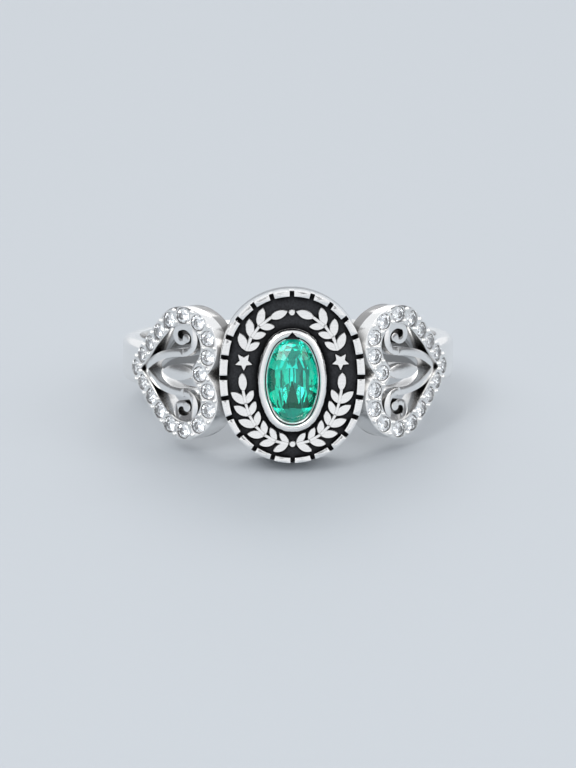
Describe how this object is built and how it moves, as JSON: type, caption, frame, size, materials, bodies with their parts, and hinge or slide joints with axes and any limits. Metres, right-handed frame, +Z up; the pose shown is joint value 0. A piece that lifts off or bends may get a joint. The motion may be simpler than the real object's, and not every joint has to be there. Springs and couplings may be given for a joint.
{
  "type": "class ring",
  "caption": "Class ring lying on its side: an oval head with a green oval stone in a black recess, between pierced hearts rimmed with small clear stones, on a flat band.",
  "frame": {"origin": "centre of the finger hole, on its axis, midway along the wall under the head", "axes": "the ring lies on its side: +Z up, the head faces -Y, the hearts stand to its left and right along X; the finger hole's axis leans 11.3 degrees from +Z towards +Y, because the ring rests on the head's lower edge and on the back of the band"},
  "size_m": [0.0202, 0.0233, 0.0106],
  "materials": {
    "silver": "polished silver",
    "black_fill": "fine grain, matt black",
    "green_stone": "clear green, facet cut",
    "clear_stone": "clear, facet cut"
  },
  "bodies": {
    "root": {"ring_body": "silver", "enamel": "black_fill", "centre_stone": "green_stone", "stone_left_01": "clear_stone", "stone_left_02": "clear_stone", "stone_left_03": "clear_stone", "stone_left_04": "clear_stone", "stone_left_05": "clear_stone", "stone_left_06": "clear_stone", "stone_left_07": "clear_stone", "stone_left_08": "clear_stone", "stone_left_09": "clear_stone", "stone_left_10": "clear_stone", "stone_left_11": "clear_stone", "stone_left_12": "clear_stone", "stone_left_13": "clear_stone", "stone_left_14": "clear_stone", "stone_left_15": "clear_stone", "stone_left_16": "clear_stone", "stone_left_17": "clear_stone", "stone_left_18": "clear_stone", "stone_right_01": "clear_stone", "stone_right_02": "clear_stone", "stone_right_03": "clear_stone", "stone_right_04": "clear_stone", "stone_right_05": "clear_stone", "stone_right_06": "clear_stone", "stone_right_07": "clear_stone", "stone_right_08": "clear_stone", "stone_right_09": "clear_stone", "stone_right_10": "clear_stone", "stone_right_11": "clear_stone", "stone_right_12": "clear_stone", "stone_right_13": "clear_stone", "stone_right_14": "clear_stone", "stone_right_15": "clear_stone", "stone_right_16": "clear_stone", "stone_right_17": "clear_stone", "stone_right_18": "clear_stone"}
  },
  "joints": []
}
